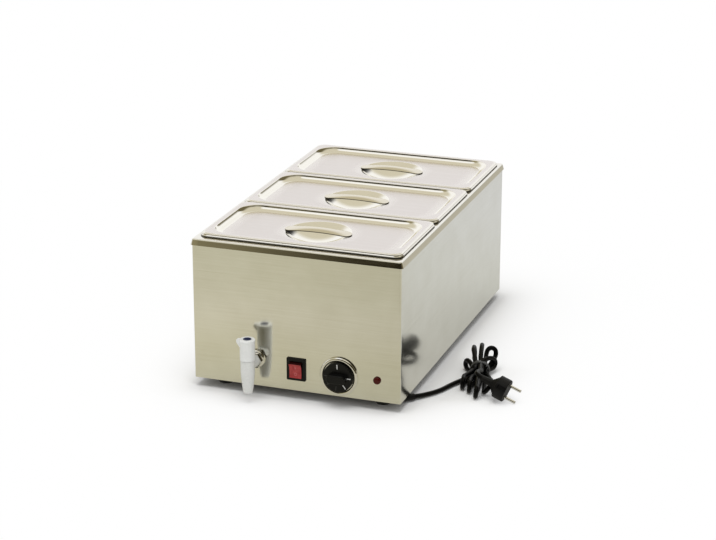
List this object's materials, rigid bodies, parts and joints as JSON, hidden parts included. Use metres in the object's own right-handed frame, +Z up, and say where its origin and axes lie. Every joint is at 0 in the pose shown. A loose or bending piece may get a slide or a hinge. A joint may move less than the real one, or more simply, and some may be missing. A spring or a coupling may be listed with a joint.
{
  "type": "electric bain-marie",
  "caption": "Electric countertop bain-marie: a brushed steel casing and water tank with lidded food pans, a drain tap, a rocker switch, a thermostat dial, a lamp and a mains cord.",
  "frame": {"origin": "on the floor under the middle of the appliance, measured without the cord", "axes": "+Z up; the control panel faces -Y; +X to the right of someone facing the panel; the pans stand in a row along Y"},
  "size_m": [0.4965, 0.5976, 0.2457],
  "materials": {
    "brushed_casing": "stainless sheet brushed sideways, warm grey",
    "satin_steel": "satin stainless steel",
    "lid_steel": "satin stainless steel with polished edges",
    "zinc_steel": "zinc-plated steel",
    "dark_steel": "heat-darkened steel sheath",
    "chrome": "bright plating",
    "brass": "turned brass",
    "copper": "drawn copper tube",
    "black_rubber": "moulded black rubber",
    "black_plastic": "moulded black plastic",
    "white_plastic": "moulded white plastic",
    "grey_plastic": "moulded light grey plastic",
    "blue_plastic": "dark blue plastic",
    "red_plastic": "glossy red plastic",
    "red_lens": "dark red lens",
    "brown_insulation": "brown wire insulation",
    "green_insulation": "green and yellow wire insulation"
  },
  "bodies": {
    "housing": {"casing": "brushed_casing", "tank": "satin_steel", "base_plate": "zinc_steel", "base_screws": "zinc_steel", "foot_front_left": "black_rubber", "foot_front_right": "black_rubber", "foot_rear_left": "black_rubber", "foot_rear_right": "black_rubber", "foot_screws": "zinc_steel", "foot_nuts": "zinc_steel", "heating_element": "dark_steel", "element_terminals": "zinc_steel", "element_straps": "zinc_steel", "strap_studs": "zinc_steel", "strap_nuts": "zinc_steel", "drain_pipe": "brass", "drain_lock_nut": "brass", "tap_rosette": "chrome", "tap_nut": "chrome", "tap_body": "grey_plastic", "tap_bonnet": "brass", "thermostat_body": "black_plastic", "thermostat_capillary": "copper", "bulb_clip": "zinc_steel", "thermostat_screws": "zinc_steel", "dial_bezel": "chrome", "switch_housing": "black_plastic", "switch_terminals": "brass", "lamp_lens": "red_lens", "lamp_body": "black_plastic", "lamp_nut": "zinc_steel", "terminal_block": "white_plastic", "earth_stud": "brass", "wiring_live": "brown_insulation", "wiring_neutral": "blue_plastic", "wiring_earth": "green_insulation", "strain_relief": "black_rubber", "power_cord": "black_rubber", "cord_hank": "black_rubber", "cord_tie": "grey_plastic", "plug_lead": "black_rubber", "plug_body": "black_rubber", "plug_pins": "chrome"},
    "pan_front": {"front_pan": "satin_steel"},
    "pan_middle": {"middle_pan": "satin_steel"},
    "pan_rear": {"rear_pan": "satin_steel"},
    "lid_front": {"front_lid": "lid_steel", "front_lid_handle": "lid_steel"},
    "lid_middle": {"middle_lid": "lid_steel", "middle_lid_handle": "lid_steel"},
    "lid_rear": {"rear_lid": "lid_steel", "rear_lid_handle": "lid_steel"},
    "tap_turner": {"tap_handle": "white_plastic", "tap_handle_cap": "blue_plastic", "tap_handle_screw": "zinc_steel", "tap_valve_plug": "brass"},
    "dial": {"dial_knob": "black_plastic", "thermostat_spindle": "zinc_steel"},
    "switch_rocker": {"rocker": "red_plastic"}
  },
  "joints": [
    {"name": "front_pan_lift", "type": "slide", "parent": "housing", "child": "pan_front", "axis": [0, 0, 1], "range_m": [0, 0.2]},
    {"name": "middle_pan_lift", "type": "slide", "parent": "housing", "child": "pan_middle", "axis": [0, 0, 1], "range_m": [0, 0.2]},
    {"name": "rear_pan_lift", "type": "slide", "parent": "housing", "child": "pan_rear", "axis": [0, 0, 1], "range_m": [0, 0.2]},
    {"name": "front_lid_lift", "type": "slide", "parent": "pan_front", "child": "lid_front", "axis": [0, 0, 1], "range_m": [0, 0.12]},
    {"name": "middle_lid_lift", "type": "slide", "parent": "pan_middle", "child": "lid_middle", "axis": [0, 0, 1], "range_m": [0, 0.12]},
    {"name": "rear_lid_lift", "type": "slide", "parent": "pan_rear", "child": "lid_rear", "axis": [0, 0, 1], "range_m": [0, 0.12]},
    {"name": "tap_turn", "type": "hinge", "parent": "housing", "child": "tap_turner", "pos_m": [-0.0645, -0.28665, 0.08], "axis": [0, 0, 1], "range_deg": [0, 90]},
    {"name": "dial_turn", "type": "hinge", "parent": "housing", "child": "dial", "pos_m": [0.07, -0.25165, 0.048], "axis": [0, 1, 0], "range_deg": [0, 247]},
    {"name": "rocker_tip", "type": "hinge", "parent": "housing", "child": "switch_rocker", "pos_m": [0.001, -0.24865, 0.05], "axis": [-1, 0, 0], "range_deg": [0, 16]}
  ]
}
